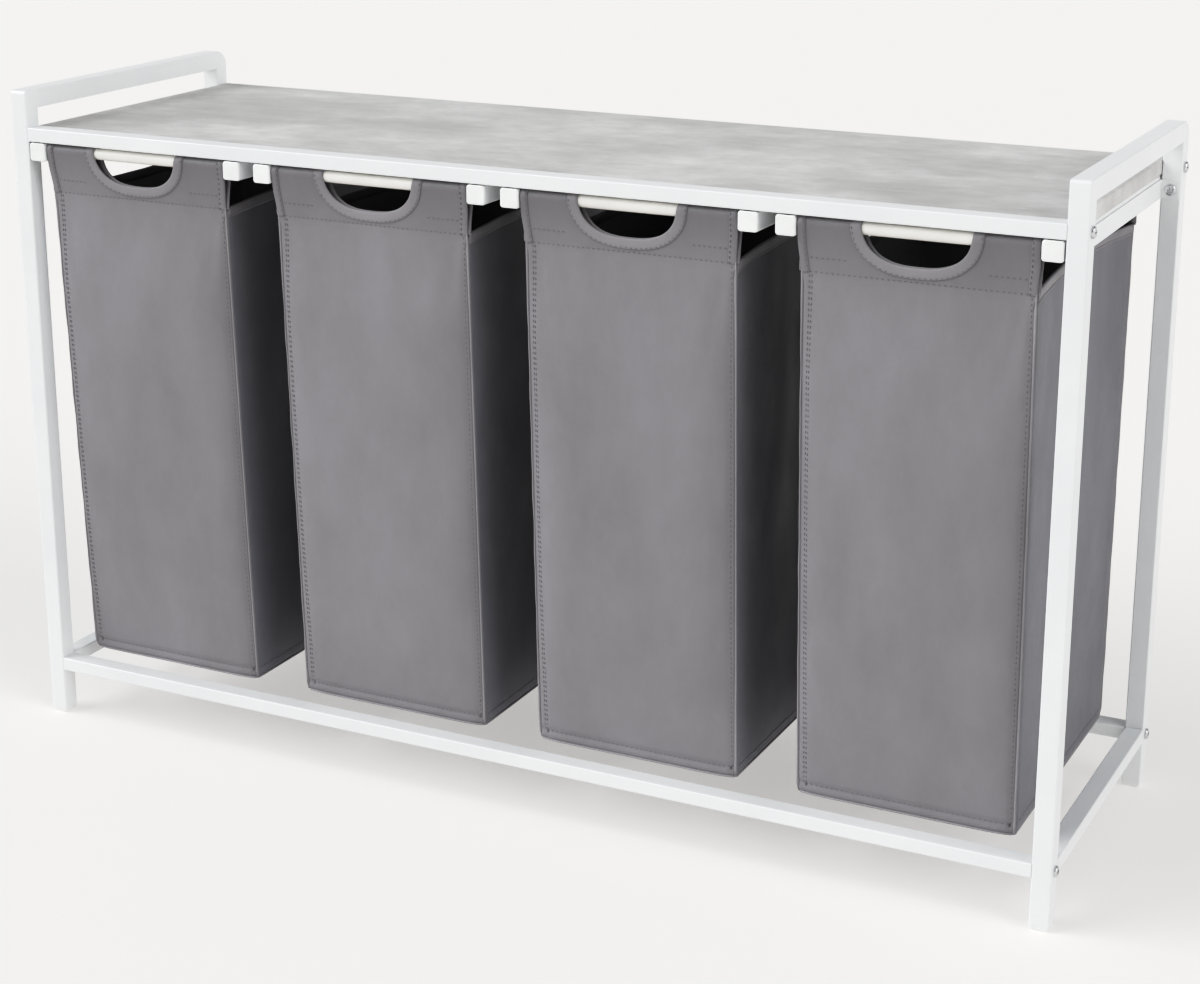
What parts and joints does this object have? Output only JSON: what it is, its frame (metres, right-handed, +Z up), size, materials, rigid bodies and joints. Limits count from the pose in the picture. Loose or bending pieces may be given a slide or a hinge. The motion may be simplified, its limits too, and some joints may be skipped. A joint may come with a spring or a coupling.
{
  "type": "laundry sorter",
  "caption": "Laundry sorter: white square-tube frame with a stone-grey top board over a row of pull-out fabric bags, each on slotted runner tubes and round bars.",
  "frame": {"origin": "on the floor, under the middle of the frame's width and depth", "axes": "+X along the width, to the right seen from the front; -Y out of the front, the way the bags pull; +Z up"},
  "size_m": [1.1864, 0.37, 0.72],
  "materials": {
    "white_frame": "satin powder coat",
    "stone_board": "matt laminate with a fine cement grain",
    "bag_fabric": "coated polyester, slight sheen",
    "white_plastic": "moulded",
    "cream_tube": "satin powder coat",
    "zinc_steel": "bright zinc",
    "track_steel": "bare"
  },
  "bodies": {
    "frame": {"board_inserts": "zinc_steel", "bottom_front_rail": "white_frame", "bottom_rear_rail": "white_frame", "foot_glides": "white_plastic", "frame_bolts": "zinc_steel", "left_bottom_rail": "white_frame", "left_front_post": "white_frame", "left_rear_post": "white_frame", "left_side_strap": "white_frame", "left_top_rail": "white_frame", "left_track_1": "track_steel", "left_track_2": "track_steel", "left_track_3": "track_steel", "left_track_4": "track_steel", "rail_end_nuts": "zinc_steel", "right_bottom_rail": "white_frame", "right_front_post": "white_frame", "right_rear_post": "white_frame", "right_side_strap": "white_frame", "right_top_rail": "white_frame", "right_track_1": "track_steel", "right_track_2": "track_steel", "right_track_3": "track_steel", "right_track_4": "track_steel", "strap_bolts": "zinc_steel", "top_board": "stone_board", "top_front_rail": "white_frame", "track_screws": "zinc_steel"},
    "bag_unit_1": {"bar_pegs_1": "zinc_steel", "front_bar_1": "cream_tube", "laundry_bag_1": "bag_fabric", "left_runner_1": "white_frame", "rear_bar_1": "cream_tube", "right_runner_1": "white_frame", "runner_caps_1": "white_plastic"},
    "bag_unit_2": {"bar_pegs_2": "zinc_steel", "front_bar_2": "cream_tube", "laundry_bag_2": "bag_fabric", "left_runner_2": "white_frame", "rear_bar_2": "cream_tube", "right_runner_2": "white_frame", "runner_caps_2": "white_plastic"},
    "bag_unit_3": {"bar_pegs_3": "zinc_steel", "front_bar_3": "cream_tube", "laundry_bag_3": "bag_fabric", "left_runner_3": "white_frame", "rear_bar_3": "cream_tube", "right_runner_3": "white_frame", "runner_caps_3": "white_plastic"},
    "bag_unit_4": {"bar_pegs_4": "zinc_steel", "front_bar_4": "cream_tube", "laundry_bag_4": "bag_fabric", "left_runner_4": "white_frame", "rear_bar_4": "cream_tube", "right_runner_4": "white_frame", "runner_caps_4": "white_plastic"}
  },
  "joints": [
    {"name": "bag_slide_1", "type": "slide", "parent": "frame", "child": "bag_unit_1", "axis": [0, -1, 0], "range_m": [0, 0.25]},
    {"name": "bag_slide_2", "type": "slide", "parent": "frame", "child": "bag_unit_2", "axis": [0, -1, 0], "range_m": [0, 0.25]},
    {"name": "bag_slide_3", "type": "slide", "parent": "frame", "child": "bag_unit_3", "axis": [0, -1, 0], "range_m": [0, 0.25]},
    {"name": "bag_slide_4", "type": "slide", "parent": "frame", "child": "bag_unit_4", "axis": [0, -1, 0], "range_m": [0, 0.25]}
  ]
}
